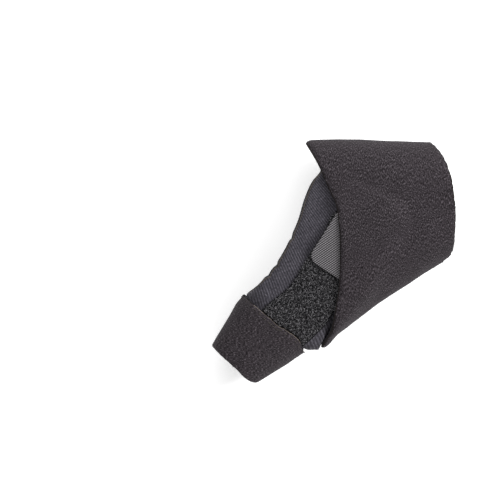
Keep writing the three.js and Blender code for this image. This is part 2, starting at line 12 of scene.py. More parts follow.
import bpy
import numpy as np
from mathutils import Vector
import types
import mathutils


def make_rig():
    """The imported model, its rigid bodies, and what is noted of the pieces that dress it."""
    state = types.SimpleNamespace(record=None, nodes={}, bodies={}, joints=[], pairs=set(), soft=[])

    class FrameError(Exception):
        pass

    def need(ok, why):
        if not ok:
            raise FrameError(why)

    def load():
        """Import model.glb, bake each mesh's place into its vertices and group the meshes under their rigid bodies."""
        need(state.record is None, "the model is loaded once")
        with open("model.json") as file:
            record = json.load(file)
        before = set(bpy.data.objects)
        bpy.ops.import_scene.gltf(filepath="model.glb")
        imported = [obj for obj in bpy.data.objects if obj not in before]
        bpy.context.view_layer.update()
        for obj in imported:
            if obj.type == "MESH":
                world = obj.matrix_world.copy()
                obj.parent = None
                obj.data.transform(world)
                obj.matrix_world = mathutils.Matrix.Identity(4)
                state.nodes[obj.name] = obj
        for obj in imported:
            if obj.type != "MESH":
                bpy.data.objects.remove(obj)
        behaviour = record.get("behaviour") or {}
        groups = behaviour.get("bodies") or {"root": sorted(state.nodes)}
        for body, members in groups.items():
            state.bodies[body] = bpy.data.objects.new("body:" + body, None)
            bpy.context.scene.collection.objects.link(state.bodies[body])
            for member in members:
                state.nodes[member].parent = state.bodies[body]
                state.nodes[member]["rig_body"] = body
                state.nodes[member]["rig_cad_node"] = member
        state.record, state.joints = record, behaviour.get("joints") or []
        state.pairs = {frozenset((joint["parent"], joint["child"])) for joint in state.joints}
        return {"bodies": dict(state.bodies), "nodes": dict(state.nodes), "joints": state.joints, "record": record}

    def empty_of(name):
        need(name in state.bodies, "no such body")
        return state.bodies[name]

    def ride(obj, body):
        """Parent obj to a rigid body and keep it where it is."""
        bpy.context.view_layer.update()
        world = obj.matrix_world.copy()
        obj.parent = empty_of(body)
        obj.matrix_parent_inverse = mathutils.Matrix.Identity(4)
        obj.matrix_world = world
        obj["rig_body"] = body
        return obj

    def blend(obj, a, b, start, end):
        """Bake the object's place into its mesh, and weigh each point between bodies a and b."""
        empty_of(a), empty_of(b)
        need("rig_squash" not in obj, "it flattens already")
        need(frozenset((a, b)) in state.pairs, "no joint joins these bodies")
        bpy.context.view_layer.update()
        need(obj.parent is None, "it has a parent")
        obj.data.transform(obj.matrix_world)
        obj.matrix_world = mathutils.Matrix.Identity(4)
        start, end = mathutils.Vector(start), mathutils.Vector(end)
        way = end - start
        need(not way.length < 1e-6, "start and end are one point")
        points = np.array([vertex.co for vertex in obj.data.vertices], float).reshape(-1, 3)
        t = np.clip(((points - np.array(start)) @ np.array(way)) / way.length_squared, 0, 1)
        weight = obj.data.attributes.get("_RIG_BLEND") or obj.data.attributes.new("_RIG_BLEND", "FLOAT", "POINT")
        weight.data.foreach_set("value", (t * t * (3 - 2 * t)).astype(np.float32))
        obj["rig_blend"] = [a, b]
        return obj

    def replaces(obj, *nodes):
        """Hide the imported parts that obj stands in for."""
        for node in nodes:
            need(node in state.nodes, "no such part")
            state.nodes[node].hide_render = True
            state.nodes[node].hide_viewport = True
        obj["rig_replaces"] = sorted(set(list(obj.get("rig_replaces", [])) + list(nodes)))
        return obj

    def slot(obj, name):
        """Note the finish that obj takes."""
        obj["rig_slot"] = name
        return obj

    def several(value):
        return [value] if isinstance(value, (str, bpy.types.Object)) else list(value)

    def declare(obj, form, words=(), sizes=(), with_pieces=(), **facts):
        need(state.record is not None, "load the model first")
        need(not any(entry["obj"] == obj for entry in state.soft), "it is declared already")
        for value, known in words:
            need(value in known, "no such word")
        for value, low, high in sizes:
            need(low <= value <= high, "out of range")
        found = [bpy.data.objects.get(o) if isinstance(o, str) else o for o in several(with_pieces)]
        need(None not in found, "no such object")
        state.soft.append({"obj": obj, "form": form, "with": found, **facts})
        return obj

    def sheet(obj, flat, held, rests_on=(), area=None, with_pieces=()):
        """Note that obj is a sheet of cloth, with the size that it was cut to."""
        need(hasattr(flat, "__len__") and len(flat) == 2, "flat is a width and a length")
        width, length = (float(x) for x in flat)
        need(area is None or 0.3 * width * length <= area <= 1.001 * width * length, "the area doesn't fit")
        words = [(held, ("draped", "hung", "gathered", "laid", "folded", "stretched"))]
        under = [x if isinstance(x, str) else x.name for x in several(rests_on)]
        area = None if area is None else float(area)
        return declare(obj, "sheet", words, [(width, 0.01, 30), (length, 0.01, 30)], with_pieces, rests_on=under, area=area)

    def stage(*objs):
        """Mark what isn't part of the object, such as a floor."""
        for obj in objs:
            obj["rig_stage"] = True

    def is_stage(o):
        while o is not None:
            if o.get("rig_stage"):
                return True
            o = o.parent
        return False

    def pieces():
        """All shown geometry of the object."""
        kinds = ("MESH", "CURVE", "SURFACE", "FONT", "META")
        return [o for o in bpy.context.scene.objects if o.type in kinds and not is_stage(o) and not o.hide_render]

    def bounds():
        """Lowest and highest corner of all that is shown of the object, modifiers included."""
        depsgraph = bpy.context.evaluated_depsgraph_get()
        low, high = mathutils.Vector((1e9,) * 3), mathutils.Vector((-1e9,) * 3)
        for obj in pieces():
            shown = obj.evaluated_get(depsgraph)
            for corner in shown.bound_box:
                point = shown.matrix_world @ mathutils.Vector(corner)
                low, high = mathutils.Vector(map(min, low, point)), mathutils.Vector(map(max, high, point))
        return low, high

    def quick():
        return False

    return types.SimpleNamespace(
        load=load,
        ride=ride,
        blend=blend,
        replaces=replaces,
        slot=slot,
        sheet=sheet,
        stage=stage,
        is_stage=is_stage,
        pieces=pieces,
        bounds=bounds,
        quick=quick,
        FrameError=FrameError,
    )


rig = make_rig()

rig.load()
CAD_BOX = [list(map(float, corner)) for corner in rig.bounds()]

# ---------------------------------------------------------------- dimensions, as in the CAD model
FABRIC = 0.35
FOAM = 0.95
BOND = 0.25
LAMINATE = 2 * FABRIC + FOAM + 2 * BOND
LAP = 0.4
PILE_BOND = 0.5
PILE_BACKING = 0.3
PILE_LOOPS = 0.8
HOOK_TAPE = 0.35
HOOK_STEMS = 0.45
OVER_WRAP = LAMINATE + LAP
PILE_TOP = LAMINATE + PILE_BOND + PILE_BACKING + BOND + PILE_LOOPS
TAB_START = PILE_TOP + BOND
TAB_TOP = TAB_START + HOOK_STEMS + BOND + HOOK_TAPE
OVER_TAB = TAB_TOP + 2 * LAP

# s, thumb side X and Y, little-finger side X and Y, their radii, palm height, crown of the back
STATIONS = np.array([
    [0.0, 61.9, 7.2, 57.8, 55.2, 20.0, 20.0, 2.15, 0.8],
    [0.25, 42.7, -4.4, 31.0, 55.9, 19.0, 18.6, 2.15, 1.2],
    [0.5, 24.2, -16.6, 3.0, 57.0, 17.6, 16.8, 2.15, 1.8],
    [0.7, 9.9, -27.0, -29.0, 54.6, 16.4, 14.6, 2.3, 2.2],
    [0.85, -0.6, -34.8, -47.5, 22.0, 15.3, 13.6, 3.4, 1.4],
    [1.0, -12.4, -41.3, -43.4, -18.2, 14.5, 14.5, 5.6, 0.4],
    [1.2, -18.6, -44.8, -47.3, -25.8, 13.8, 13.8, 6.1, 0.2],
    [1.5, -27.7, -50.8, -52.0, -34.0, 12.6, 12.6, 6.7, 0.1],
    [2.0, -42.4, -60.1, -59.6, -46.7, 10.4, 10.4, 8.4, 0.0],
])
ARC_SHARE = 0.17

WRAP_WRIST_EDGE = [
    (42, 64), (46, 61.2), (50, 58.8), (53.6, 55), (57.2, 50.6), (61, 41.6), (62.1, 33.8),
    (62.8, 26), (62.6, 18.2), (61.8, 10.4), (61, 5.2), (59.4, 1.8), (56, -1.5)]
HAND_EDGE = [
    (2, 75), (-3, 62), (-5, 52), (-6.3, 46.8), (-10.9, 40.3), (-14.8, 31.2), (-17.9, 20.8),
    (-22.4, 10.6), (-25, 5.2), (-28.1, 0), (-31.7, -5.2), (-36.4, -10.4), (-43.7, -16),
    (-52, -19.5), (-66, -22)]
STRAP_WRIST_EDGE = [
    (43, 66), (46.5, 63.2), (50.2, 61.2), (52.6, 58.8), (55.6, 54.4), (57.8, 49.4), (60.1, 41.6),
    (61.2, 33.8), (62, 26), (62.5, 18.2), (62.6, 10.4), (62, 5.2), (60.6, 2), (57.5, -0.6)]
STRAP_HAND_EDGE = [
    (-20.5, 75), (-15.6, 62.9), (-8.1, 49), (-2.6, 36.1), (1.1, 28.3), (2.5, 18), (3, 7.8),
    (3, -2.6), (2.6, -12), (1.1, -20.8), (-0.8, -30.2), (-3.1, -40.6), (-5.2, -45.5), (-9, -54)]
SLIT = [(-14, 56), (-5.5, 49.5), (2, 41.5), (9, 34), (18, 26.5), (30, 21), (54, 22), (72, 26)]
SLIT_WIDTH = 1.6
TAB_CORNER = np.array([-14.0, 0.7])
TAB_HEADING = math.radians(57.2)
TAB_LENGTH = 43
TAB_WIDTH = 28
TAB_ROUND = 5.2
TAB_FOLD_X = 0.4
PILE_PATCH = [
    (2.4, 26), (-6.6, 12.8), (-14, 1.2), (-22.9, -13.3), (-37.5, -26), (-45, -38), (-26, -51),
    (-15, -43), (-9.4, -38), (-4.6, -33), (-0.5, -26.5), (8, -15), (17, -2), (26, 11)]
STRAP_ROOT_U = -0.035
STRAP_END_U = 0.485
FLAP_U = 0.5 - ARC_SHARE
FLAP_LIFT = 1.7
THUMB_LAP_S = 1.24
SLEEVE_BOW = 0.09
SLEEVE_TURN = 0.13  # how far, in s, its foot turns towards the opening on the thumb side
HEEL = 3.8  # how far the ball of the thumb stands out between the strap and the sleeve
HEEL_FROM, HEEL_TO = 0.83, 1.16
THUMB_REACH = 0.13  # how far in u, to each side, that turn and the heel reach
END_BOW = 0.05  # how far, in s, the sleeve's open end bows out over the back
END_EXTRA = 0.035  # and over the thumb side
RISE_REACH = 11  # how far from the tab and the pile the strap starts to rise
RISE_RAMP = 9
PILE_SHARE = 0.75  # how much of the rise over the tab the pile alone gives
STRAP_BEND = 3.5  # half the width of the bend where the end of the strap peels

# About how long a step of 1 in s or in u is, in mm. A pattern cut flat is laid out at this scale.
MM_PER_S = 90
MM_PER_U = 180
LIMB_MM_PER_S = 95

# The CAD frame has its origin in the middle of the footprint: what is added to the numbers above.
ORIGIN = np.array([0.400, 0.475, 0.0])
FINE = 0.65 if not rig.quick() else 1.1  # mesh spacing
NEAR = FINE * 0.35  # a point this near to a cut slides onto it

# The camera, in metres and millimetres of lens. It leaves room at the left, where a hand would be.
VIEW_CENTRE = (-0.0433, 0.00568)
VIEW_MIDDLE = 0.025
PICTURE_WIDTH = 0.260
LENS, SENSOR = 240, 36

rng = np.random.default_rng(7)


# ---------------------------------------------------------------- curves
def through(rows, t):
    """A smooth curve through rows of [t, a, b, ...], read at every t, straight beyond its ends."""
    x = rows[:, 0]
    rise = np.diff(rows[:, 1:], axis=0) / np.diff(x)[:, None]
    before, after = rise[:-1], rise[1:]
    same_way = before * after > 0
    inner = np.where(same_way, 2 * before * after / np.where(same_way, before + after, 1), 0)
    slopes = np.vstack([rise[:1], inner, rise[-1:]])
    inside = np.clip(t, x[0], x[-1])
    i = np.clip(np.searchsorted(x, inside, side="right") - 1, 0, len(rows) - 2)
    span = (x[i + 1] - x[i])[..., None]
    f = (inside - x[i])[..., None] / span
    ease = f * f * (3 - 2 * f)
    value = rows[i, 1:] * (1 - ease) + rows[i + 1, 1:] * ease
    value = value + f * (1 - f) ** 2 * span * slopes[i] + f * f * (f - 1) * span * slopes[i + 1]
    end = np.where((t < x[0])[..., None], slopes[0], slopes[-1])
    return value + (t - inside)[..., None] * end


def smooth(t):
    t = np.clip(t, 0, 1)
    return t * t * (3 - 2 * t)


def trace(points, closed=False):
    """A dense polyline through an outline's points, as a centripetal Catmull-Rom curve."""
    p = np.array(points, float)
    if closed:
        p = np.vstack([p[-1], p, p[:2]])
    else:
        p = np.vstack([2 * p[0] - p[1], p, 2 * p[-1] - p[-2]])
    out = []
    for a, b, c, d in zip(p, p[1:], p[2:], p[3:]):
        t1 = np.linalg.norm(b - a) ** 0.5
        t2 = t1 + np.linalg.norm(c - b) ** 0.5
        t3 = t2 + np.linalg.norm(d - c) ** 0.5
        t = np.linspace(t1, t2, 8, endpoint=False)[:, None]
        ab = a + (b - a) * t / t1
        bc = b + (c - b) * (t - t1) / (t2 - t1)
        cd = c + (d - c) * (t - t2) / (t3 - t2)
        abc = ab + (bc - ab) * t / t2
        bcd = bc + (cd - bc) * (t - t1) / (t3 - t1)
        out.append(abc + (bcd - abc) * (t - t1) / (t2 - t1))
    out.append(p[-2:-1])
    return np.vstack(out)


def left_of(line):
    """How far points (x, y) are to the left of a polyline, walking along it."""
    a, d = line[:-1], np.diff(line, axis=0)

    def field(x, y):
        best = np.full(x.shape, np.inf)
        side = np.ones(x.shape)
        for (ax, ay), (dx, dy) in zip(a, d):
            t = np.clip(((x - ax) * dx + (y - ay) * dy) / (dx * dx + dy * dy), 0, 1)
            ex, ey = x - ax - t * dx, y - ay - t * dy
            away = np.hypot(ex, ey)
            nearer = away < best
            best = np.where(nearer, away, best)
            side = np.where(nearer, np.where(dx * ey - dy * ex < 0, -1.0, 1.0), side)
        return side * best

    return field


# ---------------------------------------------------------------- the limb
def limb(s, u):
    """A cross-section is a taut belt round two circles that stand on the same floor."""
    s, u = np.broadcast_arrays(np.asarray(s, float), np.asarray(u, float))
    tx, ty, fx, fy, r_t, r_f, lift, crown = np.moveaxis(through(STATIONS, s), -1, 0)
    floor = np.maximum(lift, LAMINATE)
    wide = np.hypot(fx - tx, fy - ty)
    ex, ey = (fx - tx) / wide, (fy - ty) / wide
    ct, zt, cf, zf = r_t, floor + r_t, wide - r_f, floor + r_f
    top = math.pi / 2 - 2 * np.arctan2(r_t - r_f, cf - ct)
    w = u - np.floor(u)
    flat = 0.5 - 2 * ARC_SHARE
    t = (w - ARC_SHARE) / flat
    back_a = (ct + r_t * np.cos(top), zt + r_t * np.sin(top))
    back_b = (cf + r_f * np.cos(top), zf + r_f * np.sin(top))
    k = (w - 0.5 - ARC_SHARE) / flat
    angle_t = np.where(
        w <= ARC_SHARE, math.pi + (top - math.pi) * w / ARC_SHARE,
        -math.pi / 2 * (1 + (w - 1 + ARC_SHARE) / ARC_SHARE))
    angle_f = np.where(
        w <= 0.5, top * (1 - (w - 0.5 + ARC_SHARE) / ARC_SHARE), -math.pi / 2 * (w - 0.5) / ARC_SHARE)
    on_thumb = (w <= ARC_SHARE) | (w > 1 - ARC_SHARE)
    on_back = (w > ARC_SHARE) & (w <= 0.5 - ARC_SHARE)
    on_palm = (w > 0.5 + ARC_SHARE) & (w <= 1 - ARC_SHARE)
    across = np.select(
        [on_thumb, on_back, on_palm],
        [ct + r_t * np.cos(angle_t), back_a[0] * (1 - t) + back_b[0] * t, cf + (ct - cf) * k],
        cf + r_f * np.cos(angle_f))
    bow = crown * np.sin(math.pi * np.clip(t, 0, 1)) ** 2
    heel = np.sin(math.pi * np.clip((s - HEEL_FROM) / (HEEL_TO - HEEL_FROM), 0, 1)) ** 2
    heel = HEEL * heel * smooth(1 - np.minimum(w, 1 - w) / THUMB_REACH)
    height = np.select(
        [on_thumb, on_back, on_palm],
        [zt + r_t * np.sin(angle_t), back_a[1] * (1 - t) + back_b[1] * t + bow, floor],
        zf + r_f * np.sin(angle_f))
    across = across - heel
    return np.stack([tx + ex * across, ty + ey * across, height], -1)


def outward(s, u):
    along = limb(s + 0.004, u) - limb(s - 0.004, u)
    around = limb(s, u + 0.002) - limb(s, u - 0.002)
    n = np.cross(around, along)
    return n / np.linalg.norm(n, axis=-1, keepdims=True)


def over(s, u, depth):
    return limb(s, u) + outward(s, u) * np.asarray(depth)[..., None]


def field_of(line, depth):
    away = left_of(line)

    def field(s, u):
        p = over(s, u, np.full(np.shape(s), depth))
        return away(p[..., 0], p[..., 1])

    return field


def inside_tab(x, y):
    c, s = math.cos(TAB_HEADING), math.sin(TAB_HEADING)
    dx, dy = x - TAB_CORNER[0], y - TAB_CORNER[1]
    qx = np.abs(dx * c + dy * s - TAB_LENGTH / 2) - TAB_LENGTH / 2 + TAB_ROUND
    qy = np.abs(dx * s - dy * c - TAB_WIDTH / 2) - TAB_WIDTH / 2 + TAB_ROUND
    outside = np.hypot(np.maximum(qx, 0), np.maximum(qy, 0))
    return TAB_ROUND - outside - np.minimum(np.maximum(qx, qy), 0)


pile_outline = trace(PILE_PATCH, closed=True)
inside_pile = left_of(pile_outline)
hand_edge = field_of(trace(HAND_EDGE), LAMINATE)
wrist_edge = field_of(trace(WRAP_WRIST_EDGE), LAMINATE)
strap_hand = field_of(trace(STRAP_HAND_EDGE), OVER_WRAP + LAMINATE)
strap_wrist = field_of(trace(STRAP_WRIST_EDGE), OVER_WRAP + LAMINATE)
slit_line = left_of(trace(SLIT))


def sleeve_foot(u):
    near_thumb = np.abs(u - np.round(u))
    turn = SLEEVE_TURN * smooth(1 - near_thumb / THUMB_REACH)
    return 1 + turn + SLEEVE_BOW * np.maximum(0, np.sin(2 * math.pi * u))


def sleeve_end(u):
    wave = np.maximum(0, np.sin(2 * math.pi * u))
    thumb_arc = np.sin(math.pi * np.minimum(u / ARC_SHARE, 1))
    return 2 + END_BOW * wave + END_EXTRA * np.maximum(0, thumb_arc) ** 1.5


back_u = np.linspace(0.02, 0.48, 25)
below_foot = left_of(over(sleeve_foot(back_u) - 0.012, back_u, np.full(25, LAMINATE))[:, :2])


def strap_depth(s, u):
    """Where the strap's inner face is: it rises over the tab and the pile, and over its hooks."""
    p = limb(s, u)
    rise = np.maximum(
        smooth((inside_tab(p[..., 0], p[..., 1]) + RISE_REACH) / RISE_RAMP),
        smooth((inside_pile(p[..., 0], p[..., 1]) + RISE_REACH) / RISE_RAMP) * PILE_SHARE)
    tab = (OVER_TAB - OVER_WRAP) * rise * smooth((u - 0.02) / 0.07)
    flap = FLAP_LIFT * smooth((u - 0.25) / (FLAP_U - 0.27))
    return OVER_WRAP + np.maximum(tab, flap)


# ---------------------------------------------------------------- sheets
class Sheet:
    """A triangulated flat pattern. at holds s, u, the fabric coordinates (mm) of each point, and how
    long the ring is that the point is on (0 where the sheet isn't a ring)."""

    def __init__(self, at, faces):
        self.at, self.faces = at, faces

    def cut(self, field, near):
        """Keeps what is above field = 0. Points near the cut slide onto it."""
        at = self.at.copy()
        value = field(at[:, 0], at[:, 1])
        close = np.abs(value) < near
        s, u = at[close, 0], at[close, 1]
        gs = (field(s + 1e-4, u) - value[close]) / 1e-4
        gu = (field(s, u + 5e-5) - value[close]) / 5e-5
        g = (gs / MM_PER_S) ** 2 + (gu / MM_PER_U) ** 2
        good = g > 0.04
        ds = np.where(good, value[close] * gs / MM_PER_S ** 2 / np.maximum(g, 0.04), 0)
        du = np.where(good, value[close] * gu / MM_PER_U ** 2 / np.maximum(g, 0.04), 0)
        at[close, :4] -= np.stack([ds, du, ds * MM_PER_S, du * MM_PER_U], -1)
        value[np.flatnonzero(close)[good]] = 0
        v = value[self.faces]
        keep = self.faces[(v >= 0).all(1) & (v > 0).any(1)]
        across = self.faces[(v > 0).any(1) & (v < 0).any(1)]
        extra, made, new_faces = [], {}, []
        for tri in across:
            loop = []
            for a, b in zip(tri, np.roll(tri, -1)):
                if value[a] >= 0:
                    loop.append(a)
                if value[a] * value[b] < 0:
                    key = (min(a, b), max(a, b))
                    if key not in made:
                        t = value[key[0]] / (value[key[0]] - value[key[1]])
                        made[key] = len(at) + len(extra)
                        step = at[key[1]] - at[key[0]]
                        turns = round(step[1])
                        step[[1, 3]] -= turns, turns * at[key[0], 4]
                        extra.append(at[key[0]] + step * t)
                    loop.append(made[key])
            new_faces += [(loop[0], loop[k - 1], loop[k]) for k in range(2, len(loop))]
        at = np.vstack([at, extra]) if extra else at
        faces = np.vstack([keep, new_faces]) if new_faces else keep
        return used_part(at, faces)


def used_part(at, faces):
    """A sheet of the faces, and of the points that they use."""
    used = np.unique(faces)
    index = np.full(len(at), -1)
    index[used] = np.arange(len(used))
    return Sheet(at[used], index[faces])


def grid_faces(rows, columns):
    """Two triangles for each cell of a grid of points."""
    i, j = np.meshgrid(np.arange(rows - 1), np.arange(columns - 1), indexing="ij")
    a = (i * columns + j).ravel()
    b, c, d = a + 1, a + columns + 1, a + columns
    return np.vstack([np.stack([a, b, c], -1), np.stack([a, c, d], -1)])


def grid_sheet(ss, us, ring=False):
    """A pattern over rows of s and columns of u, with lengths measured along the limb.

    A ring is joined end to end: its last column is its first one again.
    """
    s, u = np.meshgrid(ss, us, indexing="ij")
    p = limb(s, u)
    step_u = np.linalg.norm(np.diff(p, axis=1), axis=-1)
    step_s = np.linalg.norm(np.diff(p, axis=0), axis=-1)
    around = np.concatenate([np.zeros((len(ss), 1)), np.cumsum(step_u, 1)], 1)
    along = np.concatenate([np.zeros((1, len(us))), np.cumsum(step_s, 0)], 0)
    whole = np.repeat(around[:, -1:], len(us), 1) if ring else np.zeros_like(s)
    at = np.stack([s, u, along, around, whole], -1).reshape(-1, 5)
    faces = grid_faces(len(ss), len(us))
    if not ring:
        return Sheet(at, faces)
    last = len(us) - 1
    return used_part(at, np.where(faces % len(us) == last, faces - last, faces))


def boundary(faces):
    """The directed edges that only one triangle has."""
    edges = np.vstack([faces[:, [0, 1]], faces[:, [1, 2]], faces[:, [2, 0]]])
    forward = set(map(tuple, edges.tolist()))
    return np.array([e for e in edges.tolist() if (e[1], e[0]) not in forward])


def make_object(name, points, faces, material_slots, face_material=None, uv=None, ring=None):
    mesh = bpy.data.meshes.new(name)
    points = (np.asarray(points, float) + ORIGIN) * 0.001
    faces = np.asarray(faces)
    corners = faces.shape[1]
    mesh.vertices.add(len(points))
    mesh.vertices.foreach_set("co", points.astype(np.float32).ravel())
    mesh.loops.add(faces.size)
    mesh.loops.foreach_set("vertex_index", faces.astype(np.int32).ravel())
    mesh.polygons.add(len(faces))
    mesh.polygons.foreach_set("loop_start", np.arange(0, faces.size, corners, dtype=np.int32))
    mesh.polygons.foreach_set("loop_total", np.full(len(faces), corners, dtype=np.int32))
    for material in material_slots:
        mesh.materials.append(material)
    if face_material is not None:
        mesh.polygons.foreach_set("material_index", np.asarray(face_material, dtype=np.int32))
    if uv is not None:
        corner = np.asarray(uv, float)[faces]
        if ring is not None:
            # Where a face closes a ring, its second coordinate goes on past the first column's.
            around = corner[..., 1]
            closing = around.max(1, keepdims=True) - around > ring[faces] / 2
            corner[..., 1] = around + np.where(closing & (ring[faces] > 0), ring[faces], 0)
        layer = mesh.uv_layers.new(name="UVMap")
        layer.data.foreach_set("uv", corner.astype(np.float32).ravel())
    mesh.update(calc_edges=True)
    mesh.validate()
    mesh.polygons.foreach_set("use_smooth", np.full(len(mesh.polygons), True))
    obj = bpy.data.objects.new(name, mesh)
    bpy.context.scene.collection.objects.link(obj)
    return obj


def laminate(name, sheet, low, high, materials, rim_rows=5, bulge=0.12, roll=0.3, uv=None, painted_highlight_rim=None,
             lean=0.0):
    """A closed sheet between two depths, with a soft rim.

    materials are face, rim and lining, and a fourth, a paler foam painted as a highlight, for the rim where the given
    test of (s, u) holds.
    The lining reaches out past the face by lean, so that the cut edge shows.
    """
    n = len(sheet.at)
    s, u = sheet.at[:, 0], sheet.at[:, 1]
    top, bottom = high(s, u), low(s, u)
    rim = boundary(sheet.faces)
    on_rim = np.unique(rim)
    normal = outward(s, u)
    base = limb(s, u)
    outer = base + normal * top[:, None]
    inner = base + normal * bottom[:, None]
    # Points on the rim and next to it roll in towards the middle of the thickness.
    near = np.zeros(n)
    near[on_rim] = 1
    touching = np.isin(sheet.faces, on_rim).any(1)
    ring = np.setdiff1d(np.unique(sheet.faces[touching]), on_rim)
    near[ring] = 0.3
    fall = near * roll * (0.8 + 0.4 * rng.random(n))
    outer -= normal * fall[:, None]
    inner += normal * (fall * 0.6)[:, None]
    # Which way is out of the sheet at each rim point.
    out = np.zeros((n, 3))
    ahead = outer[rim[:, 1]] - outer[rim[:, 0]]
    side = np.cross(ahead, normal[rim[:, 0]])
    np.add.at(out, rim[:, 0], side)
    np.add.at(out, rim[:, 1], side)
    length = np.linalg.norm(out, axis=1, keepdims=True)
    out = out / np.maximum(length, 1e-9)
    position = {v: k for k, v in enumerate(on_rim)}
    m = len(on_rim)
    wobble = 1 + 0.5 * rng.standard_normal(m)
    rows = [outer[on_rim]]
    for t in np.linspace(0, 1, rim_rows + 2)[1:-1]:
        swell = bulge * math.sin(math.pi * t) ** 0.6 * wobble
        reach = swell + lean * t * (1.2 - 0.2 * wobble)
        rows.append(outer[on_rim] * (1 - t) + inner[on_rim] * t + out[on_rim] * reach[:, None])
    inner[on_rim] += out[on_rim] * lean
    points = np.vstack([outer, inner] + rows[1:])
    ids = [on_rim] + [2 * n + k * m + np.arange(m) for k in range(rim_rows)] + [on_rim + n]
    a = np.array([position[v] for v in rim[:, 0]])
    b = np.array([position[v] for v in rim[:, 1]])
    faces = [sheet.faces, sheet.faces[:, ::-1] + n]
    slot = [np.zeros(len(sheet.faces), int), np.full(len(sheet.faces), 2)]
    for k in range(rim_rows + 1):
        up, down = ids[k], ids[k + 1]
        faces.append(np.stack([up[a], down[a], down[b]], -1))
        faces.append(np.stack([up[a], down[b], up[b]], -1))
        which = np.full(len(a), 0 if k == 0 else (2 if k == rim_rows else 1))
        # Rim rows where the test holds get the fourth material, a painted highlight.
        if painted_highlight_rim is not None and 0 < k < rim_rows:
            which[painted_highlight_rim(s[rim[:, 0]], u[rim[:, 0]])] = 3
        slot += [which, which]
    flat = sheet.at[:, 2:4] if uv is None else uv(outer)
    uvs = np.vstack([flat, flat] + [flat[on_rim]] * rim_rows)
    whole = np.concatenate([sheet.at[:, 4]] * 2 + [sheet.at[on_rim, 4]] * rim_rows)
    return make_object(name, points, np.vstack(faces), materials, np.concatenate(slot), uvs,
                       whole if uv is None else None)


def constant(value):
    return lambda s, u: np.full(np.shape(s), value, float)


def noise(p, size, seed):
    """Smooth value noise over points (x, y, z), from -1 to 1."""
    g = np.random.default_rng(seed).uniform(-1, 1, (24, 24, 24))
    q = np.asarray(p) / size
    i = np.floor(q).astype(int)
    f = q - i
    f = f * f * (3 - 2 * f)
    out = np.zeros(len(q))
    for dx in (0, 1):
        for dy in (0, 1):
            for dz in (0, 1):
                w = (f[:, 0] if dx else 1 - f[:, 0]) * (f[:, 1] if dy else 1 - f[:, 1])
                w = w * (f[:, 2] if dz else 1 - f[:, 2])
                out += w * g[(i[:, 0] + dx) % 24, (i[:, 1] + dy) % 24, (i[:, 2] + dz) % 24]
    return out


# ---------------------------------------------------------------- materials
def material(name, build, roughness=0.9, sheen=0.0, specular=0.25):
    mat = bpy.data.materials.new(name)
    mat.use_nodes = True
    nodes, links = mat.node_tree.nodes, mat.node_tree.links
    nodes.clear()
    out = nodes.new("ShaderNodeOutputMaterial")
    shader = nodes.new("ShaderNodeBsdfPrincipled")
    shader.inputs["Roughness"].default_value = roughness
    shader.inputs["Sheen Weight"].default_value = sheen
    shader.inputs["Sheen Roughness"].default_value = 0.5
    shader.inputs["Sheen Tint"].default_value = (0.75, 0.72, 0.75, 1)
    shader.inputs["Specular IOR Level"].default_value = specular
    links.new(shader.outputs["BSDF"], out.inputs["Surface"])
    build(Nodes(nodes, links), shader)
    return mat


class Nodes:
    """Short calls for the shader nodes that the fabrics share."""

    def __init__(self, nodes, links):
        self.nodes, self.links = nodes, links

    def add(self, kind, inputs=None, **settings):
        node = self.nodes.new(kind)
        for key, value in settings.items():
            setattr(node, key, value)
        for key, value in (inputs or {}).items():
            if isinstance(value, bpy.types.NodeSocket):
                self.links.new(value, node.inputs[key])
            else:
                node.inputs[key].default_value = value
        return node

    def uv(self, scale=(1, 1, 1), turn=0.0):
        """The fabric coordinates, turned first and then scaled."""
        source = self.add("ShaderNodeUVMap", uv_map="UVMap").outputs["UV"]
        if turn:
            source = self.add("ShaderNodeMapping", {
                "Vector": source, "Rotation": (0, 0, turn)}).outputs["Vector"]
        return self.add("ShaderNodeMapping", {"Vector": source, "Scale": scale}).outputs["Vector"]

    def math(self, operation, a, b=0.0):
        node = self.add("ShaderNodeMath", operation=operation)
        for socket, value in zip(node.inputs, (a, b)):
            if isinstance(value, bpy.types.NodeSocket):
                self.links.new(value, socket)
            else:
                socket.default_value = value
        return node.outputs["Value"]

    def sum(self, a, part_a, b, part_b):
        return self.math("ADD", self.math("MULTIPLY", a, part_a), self.math("MULTIPLY", b, part_b))

    def ripple(self, a, pitch):
        return self.math("SINE", self.math("MULTIPLY", a, 2 * math.pi / pitch))

    def noise(self, vector, scale, detail=2.0, rough=0.5):
        return self.add("ShaderNodeTexNoise", {
            "Vector": vector, "Scale": scale, "Detail": detail, "Roughness": rough}).outputs["Fac"]

    def cells(self, vector, scale):
        return self.add("ShaderNodeTexVoronoi", {"Vector": vector, "Scale": scale}).outputs["Distance"]

    def ramp(self, fac, *stops):
        node = self.add("ShaderNodeValToRGB", {"Fac": fac})
        ramp = node.color_ramp
        while len(ramp.elements) < len(stops):
            ramp.elements.new(0.5)
        for element, (at, color) in zip(ramp.elements, stops):
            element.position = at
            element.color = (*color, 1)
        return node.outputs["Color"]

    def mix(self, fac, a, b, blend="MIX"):
        node = self.add("ShaderNodeMix", data_type="RGBA", blend_type=blend)
        for key, value in ((0, fac), (6, a), (7, b)):
            if isinstance(value, bpy.types.NodeSocket):
                self.links.new(value, node.inputs[key])
            else:
                node.inputs[key].default_value = value if key == 0 else (*value, 1)
        return node.outputs[2]

    def paint(self, shader, color, height, strength, distance):
        """Gives a shader its colour, and the bump of a height."""
        self.links.new(color, shader.inputs["Base Color"])
        bump = self.add("ShaderNodeBump", {"Height": height, "Strength": strength, "Distance": distance})
        self.links.new(bump.outputs["Normal"], shader.inputs["Normal"])


